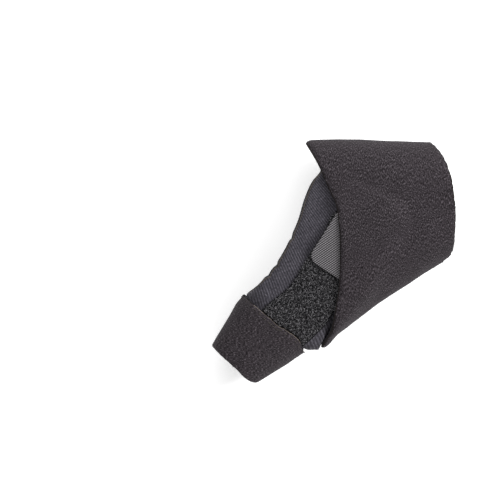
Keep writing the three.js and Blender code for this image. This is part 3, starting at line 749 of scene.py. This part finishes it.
def brushed(turn):
    """Brushed loop face: short matted loops that lie in fine rows, turned from the round direction."""

    def build(n, shader):
        rows = n.noise(n.uv((1.0, 0.42, 1), turn), 2.9, 1.0, 0.5)
        speck = n.noise(n.uv((1.0, 0.8, 1), turn), 3.4, 2.0, 0.7)
        patchy = n.noise(n.uv(), 0.09, 2.0, 0.5)
        fac = n.sum(rows, 0.6, speck, 0.4)
        color = n.ramp(
            fac, (0.37, (0.0045, 0.0034, 0.0040)), (0.47, (0.0165, 0.0136, 0.0155)),
            (0.54, (0.035, 0.0293, 0.0336)), (0.63, (0.112, 0.098, 0.109)))
        shade = n.ramp(patchy, (0.3, (0.86, 0.86, 0.86)), (0.7, (0.99, 0.99, 0.99)))
        n.paint(shader, n.mix(1.0, color, shade, "MULTIPLY"), fac, 0.6, 0.00045)

    return build


def jersey(n, shader):
    """Ribbed jersey. The first fabric coordinate counts ribs, the second is in millimetres."""
    uv = n.add("ShaderNodeUVMap", uv_map="UVMap").outputs["UV"]
    split = n.add("ShaderNodeSeparateXYZ", {"Vector": uv})
    wobble = n.noise(n.uv((0.5, 0.12, 1)), 1.0, 2.0, 0.5)
    phase = n.math("ADD", split.outputs["X"], n.math("MULTIPLY", wobble, 0.5))
    wave = n.ripple(phase, 1.0)
    rib = n.math("ADD", n.math("MULTIPLY", wave, 0.5), 0.5)
    stitch = n.ripple(split.outputs["Y"], 0.75)
    stitch = n.math("MULTIPLY", n.math("ADD", n.math("MULTIPLY", stitch, 0.5), 0.5), rib)
    grain = n.noise(n.uv((1.6, 0.9, 1)), 1.0, 3.0, 0.65)
    fac = n.sum(rib, 0.17, grain, 0.72)
    fac = n.math("ADD", fac, n.math("MULTIPLY", stitch, 0.06))
    patchy = n.noise(n.uv((0.14, 0.14, 1)), 1.0, 2.0, 0.5)
    shade = n.ramp(patchy, (0.3, (0.8, 0.8, 0.82)), (0.7, (1.1, 1.1, 1.1)))
    color = n.ramp(
        fac, (0.27, (0.013, 0.0125, 0.015)), (0.47, (0.038, 0.0355, 0.043)),
        (0.66, (0.092, 0.086, 0.101)))
    n.paint(shader, n.mix(1.0, color, shade, "MULTIPLY"), fac, 0.45, 0.0004)


def foam(dark, light):
    """Cut foam, with open pores."""

    def build(n, shader):
        pores = n.cells(n.uv(), 3.2)
        grain = n.noise(n.uv(), 1.6, 3.0, 0.6)
        fac = n.sum(pores, 0.6, grain, 0.5)
        n.paint(shader, n.ramp(fac, (0.25, dark), (0.8, light)), fac, 0.6, 0.0003)

    return build


def knit(n, shader):
    """Plain lining knit, seen where the brace is open."""
    split = n.add("ShaderNodeSeparateXYZ", {"Vector": n.uv()})
    a = n.ripple(split.outputs["X"], 0.9)
    b = n.ripple(split.outputs["Y"], 0.7)
    weave = n.math("ADD", n.math("MULTIPLY", n.math("MULTIPLY", a, b), 0.25), 0.35)
    fac = n.math("ADD", weave, n.math("MULTIPLY", n.noise(n.uv(), 1.4, 3.0, 0.6), 0.4))
    color = n.ramp(fac, (0.3, (0.013, 0.013, 0.017)), (0.8, (0.06, 0.06, 0.072)))
    n.paint(shader, color, fac, 0.5, 0.0004)


def woven_tape(n, shader):
    """Grey woven tape: warp and weft threads cross on the diagonal of the tape."""
    split = n.add("ShaderNodeSeparateXYZ", {"Vector": n.uv()})
    warp = n.ripple(split.outputs["X"], 1.0)
    weft = n.ripple(split.outputs["Y"], 1.0)
    weave = n.sum(warp, 0.1, weft, 0.2)
    grain = n.noise(n.uv((1.6, 1.6, 1)), 1.6, 3.0, 0.7)
    fac = n.math("ADD", n.math("ADD", weave, 0.22), n.math("MULTIPLY", grain, 0.56))
    color = n.ramp(
        fac, (0.3, (0.009, 0.008, 0.009)), (0.5, (0.046, 0.0425, 0.046)),
        (0.74, (0.215, 0.205, 0.215)))
    n.paint(shader, color, fac, 0.65, 0.0004)


def fibre(dark, light, size):
    """Single fibres, whose colour varies over about size millimetres."""

    def build(n, shader):
        vary = n.noise(n.add("ShaderNodeTexCoord").outputs["Object"], 1000 / size, 2.0, 0.6)
        middle = tuple(0.72 * a + 0.28 * b for a, b in zip(dark, light))
        color = n.ramp(vary, (0.36, dark), (0.5, middle), (0.66, light))
        n.links.new(color, shader.inputs["Base Color"])

    return build


def pile_base(n, shader):
    """The dark ground between the pile's loops."""
    tufts = n.cells(n.uv(), 1.3)
    grain = n.noise(n.uv(), 2.2, 3.0, 0.7)
    fac = n.sum(tufts, 0.5, grain, 0.5)
    color = n.ramp(
        fac, (0.3, (0.003, 0.003, 0.0035)), (0.62, (0.009, 0.009, 0.010)), (0.8, (0.03, 0.03, 0.033)))
    n.paint(shader, color, fac, 0.9, 0.0008)


# Near-black cut foam. Its darkness is partly painted shade: it stands in for the shadow gap along the strap's and the
# sleeve's cut edges.
BLACK_FOAM_AND_PAINTED_SHADE = foam((0.004, 0.0035, 0.0035), (0.022, 0.018, 0.017))
BROWN_FOAM = foam((0.010, 0.008, 0.007), (0.085, 0.071, 0.062))
# Pale cut foam, a painted highlight: the lit stretch of the sleeve foot's cut edge, made paler than the rest of that
# rim.
PAINTED_HIGHLIGHT_FOAM = foam((0.05, 0.042, 0.035), (0.22, 0.18, 0.15))
PILE_FIBRE = fibre((0.005, 0.005, 0.0056), (0.27, 0.26, 0.275), 1.1)
FUZZ_FIBRE = fibre((0.014, 0.012, 0.0135), (0.085, 0.075, 0.083), 1.2)
HOOK_PLASTIC = fibre((0.09, 0.088, 0.09), (0.2, 0.195, 0.2), 3.0)
THREAD_FIBRE = fibre((0.02, 0.018, 0.017), (0.10, 0.088, 0.075), 0.5)

MAT = {
    "brushed": material("brushed_face", brushed(0.0), 0.95, 0.03, 0.1),
    "brushed_sleeve": material("brushed_face_sleeve", brushed(math.radians(45)), 0.95, 0.03, 0.1),
    "jersey": material("ribbed_jersey", jersey, 0.85, 0.03, 0.15),
    # Near-black rim foam, darkened partly as painted shade along the cut edges.
    "foam": material("foam_edge", BLACK_FOAM_AND_PAINTED_SHADE, 0.95, 0.0, 0.1),
    "foam_edge": material("foam_edge_brown", BROWN_FOAM, 0.95, 0.0, 0.1),
    # Pale rim foam, a painted highlight on the lit stretch of the sleeve's foot.
    "foam_painted_highlight": material("foam_edge_painted_highlight", PAINTED_HIGHLIGHT_FOAM, 0.95),
    "lining": material("lining_knit", knit, 0.9, 0.03, 0.15),
    "tape": material("woven_tape", woven_tape, 0.7, 0.03, 0.25),
    "pile_base": material("pile_base", pile_base, 1.0, 0.0, 0.05),
    "pile": material("pile_loops", PILE_FIBRE, 0.6, 0.0, 0.3),
    "fuzz": material("loop_fuzz", FUZZ_FIBRE, 0.9, 0.0, 0.1),
    "hooks": material("hook_plastic", HOOK_PLASTIC, 0.4, 0.0, 0.5),
    "thread": material("spun_thread", THREAD_FIBRE, 0.8, 0.0, 0.2),
}


# ---------------------------------------------------------------- fabric pieces
RIB_CENTRE = np.array([-81.1, 123.8])  # the ribs fan out from here
RIB_PITCH = 0.0094  # radians


def rib_coordinates(points):
    d = points[:, :2] - RIB_CENTRE
    angle = np.arctan2(d[:, 1], d[:, 0])
    return np.stack([angle / RIB_PITCH, np.hypot(d[:, 0], d[:, 1])], -1)


def ball_of_thumb(s, u, p):
    """The wrap swells on the thumb side, in the gap between the strap and the sleeve."""
    thumb_side = smooth(1 - np.abs(u - np.round(u)) / 0.14)
    to_strap = -strap_hand(s, u)
    to_sleeve = (sleeve_foot(u) - s) * LIMB_MM_PER_S
    free = smooth(to_strap / 1.2) * smooth(to_sleeve / 0.5)
    free = free * smooth(-inside_pile(p[..., 0], p[..., 1]) / 2)
    squeezed = np.maximum(smooth(1 - to_sleeve / 4.5), 0.6 * smooth(1 - to_strap / 3.5))
    return (0.8 + 1.5 * squeezed) * thumb_side * free


def wrap():
    ss = np.arange(-0.06, THUMB_LAP_S + 0.004, FINE / LIMB_MM_PER_S)
    us = np.linspace(0, 1, int(190 / FINE) + 1)
    sheet = grid_sheet(ss, us, ring=True)
    sheet = sheet.cut(lambda s, u: -2.1 - wrist_edge(s, u), NEAR)
    nicks = [(-21.3, 11.4), (-29.1, -3.1), (-33.5, -8.6)]  # where the cut edge is torn

    def worn_hand_edge(s, u):
        p = over(s, u, np.full(np.shape(s), LAMINATE))
        torn = sum(np.exp(-((p[..., 0] - x) ** 2 + (p[..., 1] - y) ** 2) / 1.3) for x, y in nicks)
        return hand_edge(s, u) - 0.5 - 1.2 * torn

    sheet = sheet.cut(worn_hand_edge, NEAR)

    def off_slit(s, u):
        p = limb(s, u)
        w = u - np.floor(u)
        away = np.abs(slit_line(p[..., 0], p[..., 1])) - SLIT_WIDTH / 2
        return np.where((w > 0.02) & (w < 0.48), away, 30.0)

    sheet = sheet.cut(off_slit, NEAR)

    def high(s, u):
        p = limb(s, u)
        above = np.clip((p[:, 2] - 4) / 6, 0, 1)
        return LAMINATE + above * (0.12 * noise(p, 13, 3) - 0.06) + ball_of_thumb(s, u, p)

    obj = laminate("wrap_shell", sheet, constant(0), high,
                   [MAT["jersey"], MAT["foam_edge"], MAT["lining"]], uv=rib_coordinates, lean=1.1)
    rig.ride(obj, "brace")
    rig.replaces(obj, "wrap_lining", "wrap_foam_core", "wrap_outer_face")
    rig.slot(obj, "ribbed_jersey")
    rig.sheet(obj, flat=(0.19, 0.13), held="stretched", area=0.0155)


def thumb_sleeve():
    ts = np.linspace(0, 1, int(36 / FINE) + 1)
    us = np.linspace(0, 1, int(100 / FINE) + 1)
    sheet = grid_sheet(1 + ts, us, ring=True)
    u = sheet.at[:, 1]
    foot = sleeve_foot(u)
    sheet.at[:, 0] = foot + (sleeve_end(u) - foot) * (sheet.at[:, 0] - 1)

    def high(s, u):
        p = limb(s, u)
        return OVER_WRAP + LAMINATE + 0.16 * noise(p, 9, 5) - 0.05

    # Where the cut edge of the sleeve's foot is painted pale, as a highlight: its stretch over the back.
    def painted_highlight_rim(s, u):
        return (s < 1.5) & (u > 0.09) & (u < 0.4)

    # The rest of the rim is near-black foam, partly painted shade under the sleeve's edge.
    obj = laminate("thumb_sleeve_shell", sheet, constant(OVER_WRAP), high,
                   [MAT["brushed_sleeve"], MAT["foam"], MAT["lining"], MAT["foam_painted_highlight"]],
                   bulge=0.18, painted_highlight_rim=painted_highlight_rim)
    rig.ride(obj, "brace")
    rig.replaces(obj, "thumb_sleeve_lining", "thumb_sleeve_foam_core", "thumb_sleeve_outer_face")
    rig.slot(obj, "brushed_face")
    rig.sheet(obj, flat=(0.112, 0.038), held="stretched")


HINGE = np.array([24.0, 38.9, 44.5])
ACROSS_HINGE = np.array([0.079, 0.997, 0.0])


def hinge_points(middle, across, half):
    """Where a bend over a hinge starts and ends, in metres in the frame."""
    points = [(middle + ORIGIN + across * side * half) * 0.001 for side in (-1, 1)]
    return {"start": tuple(points[0]), "end": tuple(points[1])}


def ragged(s, u):
    """The cut wrist edge of the strap wanders a little."""
    p = limb(s, u)
    return 0.3 * noise(p, 1.2, 13)


def strap():
    ss = np.arange(-0.06, 0.98, FINE / LIMB_MM_PER_S)
    us = np.linspace(STRAP_ROOT_U, STRAP_END_U, int(100 / FINE) + 1)
    sheet = grid_sheet(ss, us)
    sheet = sheet.cut(lambda s, u: ragged(s, u) - smooth(u / 0.1) - strap_wrist(s, u), NEAR)
    sheet = sheet.cut(lambda s, u: strap_hand(s, u) - 0.6, NEAR)

    def high(s, u):
        p = limb(s, u)
        soft = 0.3 * noise(p, 17, 11) + 0.12 * noise(p, 7, 12)
        pressed = 0.55 * (1 - smooth(strap_hand(s, u) / 2.2))  # the cut edges are thinner
        return strap_depth(s, u) + LAMINATE + soft - pressed

    # The rim is near-black foam, partly painted shade: the shadow gap along the strap's cut edges.
    obj = laminate("strap_shell", sheet, strap_depth, high, [MAT["brushed"], MAT["foam"], MAT["lining"]],
                   bulge=0.2, roll=0.35, lean=0.9)
    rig.replaces(obj, "strap_lining", "strap_foam_core", "strap_outer_face",
                "strap_end_lining", "strap_end_foam_core", "strap_end_outer_face")
    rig.blend(obj, "strap", "strap_end", **hinge_points(HINGE, ACROSS_HINGE, STRAP_BEND))
    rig.slot(obj, "brushed_face")
    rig.sheet(obj, flat=(0.105, 0.08), held="stretched", area=0.0066)
    return sheet, high


# ---------------------------------------------------------------- pile, tab and hooks
def place_under(x, y, depth):
    """The places (s, u) on the back of the hand that lie under (x, y) at a depth."""
    s, u = np.full(np.shape(x), 0.65), np.full(np.shape(x), 0.2)
    h = 1e-4
    depths = np.full(np.shape(x), depth)
    for _ in range(16):
        p = over(s, u, depths)
        ps = (over(s + h, u, depths) - p) / h
        pu = (over(s, u + h, depths) - p) / h
        det = ps[..., 0] * pu[..., 1] - ps[..., 1] * pu[..., 0]
        ex, ey = x - p[..., 0], y - p[..., 1]
        s = s + np.clip((ex * pu[..., 1] - ey * pu[..., 0]) / det, -0.12, 0.12)
        u = u + np.clip((ps[..., 0] * ey - ps[..., 1] * ex) / det, -0.05, 0.05)
    return s, u


def patch_sheet(outlines, depth, centre, heading, size, cell):
    """A grid turned to a heading, cut to outlines given as fields of (x, y), and laid on."""
    c, s = math.cos(heading), math.sin(heading)
    long = np.linspace(-size[0] / 2, size[0] / 2, int(size[0] / cell) + 1)
    wide = np.linspace(-size[1] / 2, size[1] / 2, int(size[1] / cell) + 1)
    p, q = (a.ravel() for a in np.meshgrid(long, wide, indexing="ij"))
    at = np.stack([p / MM_PER_S, q / MM_PER_U, p, q, np.zeros_like(p)], -1)

    def plan(along, aside):
        return centre[0] + along * c + aside * s, centre[1] + along * s - aside * c

    def on_patch(inside):
        return lambda ps, qs: inside(*plan(ps * MM_PER_S, qs * MM_PER_U))

    sheet = Sheet(at, grid_faces(len(long), len(wide)))
    for inside in outlines:
        sheet = sheet.cut(on_patch(inside), cell * 0.35)
    x, y = plan(sheet.at[:, 2], sheet.at[:, 3])
    sheet.at[:, 0], sheet.at[:, 1] = place_under(x, y, depth)
    return sheet


def tab_centre():
    c, s = math.cos(TAB_HEADING) / 2, math.sin(TAB_HEADING) / 2
    return TAB_CORNER + np.array([TAB_LENGTH * c + TAB_WIDTH * s, TAB_LENGTH * s - TAB_WIDTH * c])


def tubes(paths, radius, sides=3, taper=1.0):
    """Thin closed tubes along paths, an array of (count, points, 3)."""
    paths = np.asarray(paths, float)
    count, k, _ = paths.shape
    tangent = np.gradient(paths, axis=1)
    tangent /= np.maximum(np.linalg.norm(tangent, axis=-1, keepdims=True), 1e-9)
    helper = np.where(np.abs(tangent[..., 2:3]) < 0.9, [[[0, 0, 1.0]]], [[[1.0, 0, 0]]])
    e1 = np.cross(tangent, helper)
    e1 /= np.maximum(np.linalg.norm(e1, axis=-1, keepdims=True), 1e-9)
    e2 = np.cross(tangent, e1)
    r = radius * np.linspace(1, taper, k)[None, :, None]
    rings = [paths + r * (e1 * math.cos(a) + e2 * math.sin(a))
             for a in np.linspace(0, 2 * math.pi, sides, endpoint=False)]
    points = np.stack(rings, 2).reshape(-1, 3)
    base = (np.arange(count) * k * sides)[:, None, None]
    i = np.arange(k - 1)[None, :, None] * sides
    j = np.arange(sides)[None, None, :]
    a = base + i + j
    b = base + i + (j + 1) % sides
    quads = np.stack([a, b, b + sides, a + sides], -1).reshape(-1, 4)
    tris = np.vstack([quads[:, [0, 1, 2]], quads[:, [0, 2, 3]]])
    fan = np.arange(1, sides - 1)
    start = np.stack([np.zeros_like(fan), fan + 1, fan], -1)
    first = (np.arange(count) * k * sides)[:, None, None] + start[None]
    last = (np.arange(count) * k * sides + (k - 1) * sides)[:, None, None] + start[None][..., ::-1]
    return points, np.vstack([tris, first.reshape(-1, 3), last.reshape(-1, 3)])


def any_way(random, n):
    """A random direction along the surface at each point, from the normals n."""
    way = random.standard_normal(n.shape)
    way -= n * np.sum(way * n, -1, keepdims=True)
    return way / np.linalg.norm(way, axis=-1, keepdims=True)


def scatter(inside, box, spacing, seed):
    """Jittered points of a triangular lattice where inside(x, y) is positive."""
    random = np.random.default_rng(seed)
    xs = np.arange(box[0], box[1], spacing)
    ys = np.arange(box[2], box[3], spacing * 0.87)
    x, y = np.meshgrid(xs, ys)
    x = x + (np.arange(len(ys)) % 2)[:, None] * spacing / 2
    x = (x + random.uniform(-0.38, 0.38, x.shape) * spacing).ravel()
    y = (y + random.uniform(-0.38, 0.38, y.shape) * spacing).ravel()
    keep = inside(x, y) > 0
    return x[keep], y[keep]


def above_foot(x, y):
    return -below_foot(x, y)


def pile_patch():
    start = LAMINATE + PILE_BOND
    heading = math.radians(48)
    sheet = patch_sheet([inside_pile, above_foot], start, (-7, -14), heading, (88, 66), 0.8)

    def high(s, u):
        return PILE_TOP - 0.35 + 0.18 * noise(limb(s, u), 1.6, 21)

    base = laminate("thumb_pile_ground", sheet, constant(start - 0.35), high,
                    [MAT["pile_base"], MAT["pile_base"], MAT["tape"]], rim_rows=3)
    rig.ride(base, "brace")
    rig.replaces(base, "thumb_pile_backing", "thumb_pile_loops")
    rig.slot(base, "pile")
    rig.sheet(base, flat=(0.088, 0.03), held="laid", rests_on=["wrap_shell"], area=0.00208)

    x, y = scatter(lambda a, b: np.minimum(inside_pile(a, b), above_foot(a, b)) - 0.2,
                   (-48, 32, -50, 30), 0.72 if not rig.quick() else 0.95, 31)
    s, u = place_under(x, y, PILE_TOP)
    foot = over(s, u, np.full(len(s), PILE_TOP - 0.6))
    n = outward(s, u)
    random = np.random.default_rng(32)
    way = any_way(random, n)
    lean = random.uniform(-0.35, 0.35, (len(s), 1)) * np.cross(n, way)
    height = random.uniform(0.45, 1.0, (len(s), 1))
    reach = random.uniform(0.3, 0.75, (len(s), 1))
    aside = np.cross(n, way) * random.uniform(-0.6, 0.6, (len(s), 1))
    t = np.linspace(0, math.pi, 8)
    paths = np.stack([
        foot - way * reach * math.cos(a) + (n + lean) * height * math.sin(a) ** 0.8
        + aside * math.sin(2 * a) for a in t], 1)
    points, faces = tubes(paths, 0.085)
    loops = make_object("thumb_pile_tufts", points, faces, [MAT["pile"]])
    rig.ride(loops, "brace")
    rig.slot(loops, "pile")


def tab_side(side):
    """Inside the tab, on the wrist side (1) of its fold or on the corner's side (-1)."""
    return lambda x, y: np.minimum(inside_tab(x, y) - 0.8, side * (x - TAB_FOLD_X) - 0.4)


def hook_tab():
    size = (TAB_LENGTH, TAB_WIDTH)
    low = TAB_START + HOOK_STEMS + BOND - 0.15
    sheet = patch_sheet([inside_tab], low, tab_centre(), TAB_HEADING, size, 0.6)

    def lift(s, u):
        """The long edge on the hand side stands up a little from the pile."""
        p = limb(s, u)
        c, k = math.cos(TAB_HEADING), math.sin(TAB_HEADING)
        across = (p[:, 0] - TAB_CORNER[0]) * k - (p[:, 1] - TAB_CORNER[1]) * c
        return 0.55 * smooth((5 - across) / 5)

    obj = laminate(
        "hook_tab_band", sheet, lambda s, u: low + lift(s, u),
        lambda s, u: low + 0.6 + lift(s, u) + 0.05 * noise(limb(s, u), 6, 9),
        [MAT["tape"]] * 3, rim_rows=3, bulge=0.05, roll=0.12, uv=tab_weave)
    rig.replaces(obj, "hook_tab_tape", "hook_tab_corner_tape")
    fold = np.array([TAB_FOLD_X, 8.0, 41.85])
    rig.blend(obj, "brace", "hook_tab_corner", **hinge_points(fold, np.array([-1.0, 0, 0]), 0.8))
    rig.slot(obj, "tape")
    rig.sheet(obj, flat=(0.028, 0.043), held="stretched")

    sides = [("hook_tab_stems", "brace", "hook_tab_hooks", 1),
             ("hook_tab_corner_stems", "hook_tab_corner", "hook_tab_corner_hooks", -1)]
    for name, body, node, side in sides:
        x, y = scatter(tab_side(side), (-18, 45, -22, 45), 1.05, 41)
        s, u = place_under(x, y, TAB_START)
        stems = hook_field(name, s, u, np.full(len(s), low), 42)
        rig.ride(stems, body)
        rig.replaces(stems, node)
        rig.slot(stems, "hooks")


def tab_weave(points):
    """Fabric coordinates of the tab, across its two crossing sets of threads."""
    x, y = points[:, 0], points[:, 1]
    slope = math.radians(55)
    one = x * math.cos(slope) + y * math.sin(slope)
    other = x * math.cos(slope) - y * math.sin(slope)
    return np.stack([one, other], -1)


def hook_field(name, s, u, depth, seed):
    """Short plastic hooks that hang from a depth towards the limb and curl over at the tip."""
    top = over(s, u, depth)
    n = -outward(s, u)
    way = any_way(np.random.default_rng(seed), n)
    long = HOOK_STEMS + 0.1
    shape = [(0, -0.05), (0, 0.55), (0.06, 0.85), (0.2, 1.0), (0.34, 0.9), (0.36, 0.72)]
    paths = np.stack([top + way * a * 0.8 + n * b * long for a, b in shape], 1)
    points, faces = tubes(paths, 0.085, sides=4, taper=0.7)
    return make_object(name, points, faces, [MAT["hooks"]])


def strap_hooks():
    margin = 4.0
    us = np.linspace(FLAP_U + 0.02, STRAP_END_U - 0.008, 42)
    sheet = grid_sheet(np.arange(-0.06, 0.98, 0.009), us)
    sheet = sheet.cut(lambda s, u: -strap_wrist(s, u) - margin, 0.25)
    sheet = sheet.cut(lambda s, u: strap_hand(s, u) - margin, 0.25)
    tape = laminate("strap_end_hook_band", sheet, lambda s, u: strap_depth(s, u) - BOND - HOOK_TAPE,
                    lambda s, u: strap_depth(s, u) - 0.08, [MAT["tape"]] * 3, rim_rows=3, bulge=0.05)
    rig.ride(tape, "strap_end")
    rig.replaces(tape, "strap_end_hook_tape")
    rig.slot(tape, "tape")
    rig.sheet(tape, flat=(0.03, 0.075), held="stretched", area=0.0013)

    tried, kept = 9000, 1400
    random = np.random.default_rng(51)
    s = random.uniform(-0.05, 0.8, tried)
    u = random.uniform(FLAP_U + 0.022, STRAP_END_U - 0.01, tried)
    inside = (-strap_wrist(s, u) > margin + 0.6) & (strap_hand(s, u) > margin + 0.6)
    s, u = s[inside][:kept], u[inside][:kept]
    stems = hook_field("strap_end_stems", s, u, strap_depth(s, u) - BOND - HOOK_TAPE, 52)
    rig.ride(stems, "strap_end")
    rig.replaces(stems, "strap_end_hooks")
    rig.slot(stems, "hooks")


# ---------------------------------------------------------------- seams and fuzz
def stitches(name, s, u, depth, long, body, node):
    """A row of short stitches along places on the limb, each bedded at both ends."""
    centre = over(s, u, depth)
    n = outward(s, u)
    way = np.gradient(centre, axis=0)
    way /= np.linalg.norm(way, axis=1, keepdims=True)
    shape = [(-0.5, -0.35), (-0.36, 0.06), (0, 0.16), (0.36, 0.06), (0.5, -0.35)]
    paths = np.stack([centre + way * a * long + n * b * 0.8 for a, b in shape], 1)
    points, faces = tubes(paths, 0.16, sides=6)
    obj = make_object(name, points, faces, [MAT["thread"]])
    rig.ride(obj, body)
    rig.replaces(obj, node)
    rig.slot(obj, "thread")


def seams():
    u = np.linspace(0.0, 1.0, 46, endpoint=False)
    stitches("thumb_sleeve_stitches", sleeve_foot(u) + 0.035, u,
             np.full(len(u), OVER_WRAP + LAMINATE), 1.5, "brace", "thumb_sleeve_seam")
    s = np.linspace(0.01, 0.8, 36)
    u = np.full(len(s), STRAP_ROOT_U + 0.012)
    s = s[(strap_wrist(s, u) < -3) & (strap_hand(s, u) > 2)]
    u = u[:len(s)]
    stitches("strap_root_stitches", s, u,
             strap_depth(s, u) + LAMINATE, 1.6, "strap", "strap_root_seam")


def fuzz(name, s, u, depth, seed, long=(0.4, 0.95)):
    """Loose fibres that stand off a brushed face."""
    random = np.random.default_rng(seed)
    root = over(s, u, depth - 0.08)
    n = outward(s, u)
    way = random.standard_normal((len(s), 3)) * 0.9
    tip = n * random.uniform(0.25, 0.9, (len(s), 1)) + way
    tip /= np.linalg.norm(tip, axis=1, keepdims=True)
    tip = tip + n * 0.15
    length = random.uniform(*long, (len(s), 1))
    curl = random.standard_normal((len(s), 3)) * 0.22
    paths = np.stack([root, root + tip * length * 0.5 + curl * length, root + tip * length], 1)
    points, faces = tubes(paths, 0.035, taper=0.5)
    return make_object(name, points, faces, [MAT["fuzz"]])


def strap_fuzz(sheet, high):
    random = np.random.default_rng(61)
    rim = boundary(sheet.faces)[:, 0]
    on_face, on_rim = 3500, 1400
    inner = random.choice(len(sheet.at), on_face, replace=False)
    rim = random.choice(rim, min(len(rim), on_rim), replace=len(rim) < on_rim)
    pick = np.concatenate([inner, rim])
    s, u = sheet.at[pick, 0], sheet.at[pick, 1]
    obj = fuzz("strap_fuzz", s, u, high(s, u), 62)
    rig.blend(obj, "strap", "strap_end", **hinge_points(HINGE, ACROSS_HINGE, STRAP_BEND))
    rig.slot(obj, "brushed_face")


def sleeve_fuzz():
    random = np.random.default_rng(71)
    count, at_end = 1700, 500
    u = random.uniform(0, 1, count)
    t = random.uniform(0, 1, count)
    t[:at_end] = 1 - np.abs(random.normal(0, 0.006, at_end))
    s = sleeve_foot(u) + (sleeve_end(u) - sleeve_foot(u)) * t
    deeper = np.where(np.arange(count) < at_end, random.uniform(0, 1.8, count), 0)
    depth = OVER_WRAP + LAMINATE - 0.05 - deeper
    obj = fuzz("thumb_sleeve_fuzz", s, u, depth, 72, (0.35, 1.0))
    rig.ride(obj, "brace")
    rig.slot(obj, "brushed_face")


# ---------------------------------------------------------------- stage
def stage():
    scene = bpy.context.scene
    mesh = bpy.data.meshes.new("floor")
    half, low = 3.0, -0.0002
    corners = [(-half, -half, low), (half, -half, low), (half, half, low), (-half, half, low)]
    mesh.from_pydata(corners, [], [(0, 1, 2, 3)])
    floor = bpy.data.objects.new("floor", mesh)
    scene.collection.objects.link(floor)
    mat = bpy.data.materials.new("floor_paper")
    mat.use_nodes = True
    shader = mat.node_tree.nodes["Principled BSDF"]
    shader.inputs["Base Color"].default_value = (0.92, 0.92, 0.92, 1)
    shader.inputs["Roughness"].default_value = 0.9
    shader.inputs["Emission Color"].default_value = (1, 1, 1, 1)
    shader.inputs["Emission Strength"].default_value = 0.35
    mesh.materials.append(mat)
    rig.stage(floor)

    world = bpy.data.worlds.new("studio")
    scene.world = world
    world.use_nodes = True
    world.node_tree.nodes["Background"].inputs["Color"].default_value = (1, 1, 1, 1)
    world.node_tree.nodes["Background"].inputs["Strength"].default_value = 0.75

    def area(name, place, size, power):
        light = bpy.data.lights.new(name, "AREA")
        light.size = size
        light.energy = power
        obj = bpy.data.objects.new(name, light)
        scene.collection.objects.link(obj)
        obj.location = place
        direction = np.array([0, 0, 0.02]) - place
        obj.rotation_euler = Vector(direction).to_track_quat("-Z", "Y").to_euler()

    area("key", (0.72, 0.22, 0.68), 0.35, 10.5)
    area("fill", (-0.1, 0.8, 0.7), 0.8, 4.0)
    scene.view_settings.view_transform = "Standard"

    camera = bpy.data.cameras.new("camera")
    camera.lens = LENS
    camera.sensor_width = SENSOR
    camera.clip_end = 20
    obj = bpy.data.objects.new("camera", camera)
    scene.collection.objects.link(obj)
    obj.location = (*VIEW_CENTRE, VIEW_MIDDLE + PICTURE_WIDTH * LENS / SENSOR)
    scene.camera = obj


stage()
wrap()
thumb_sleeve()
strap_sheet, strap_face = strap()
pile_patch()
hook_tab()
strap_hooks()
seams()
strap_fuzz(strap_sheet, strap_face)
sleeve_fuzz()

visual_box = [list(map(float, corner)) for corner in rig.bounds()]
json.dump({"cad": CAD_BOX, "visual": visual_box}, open("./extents.json", "w"))
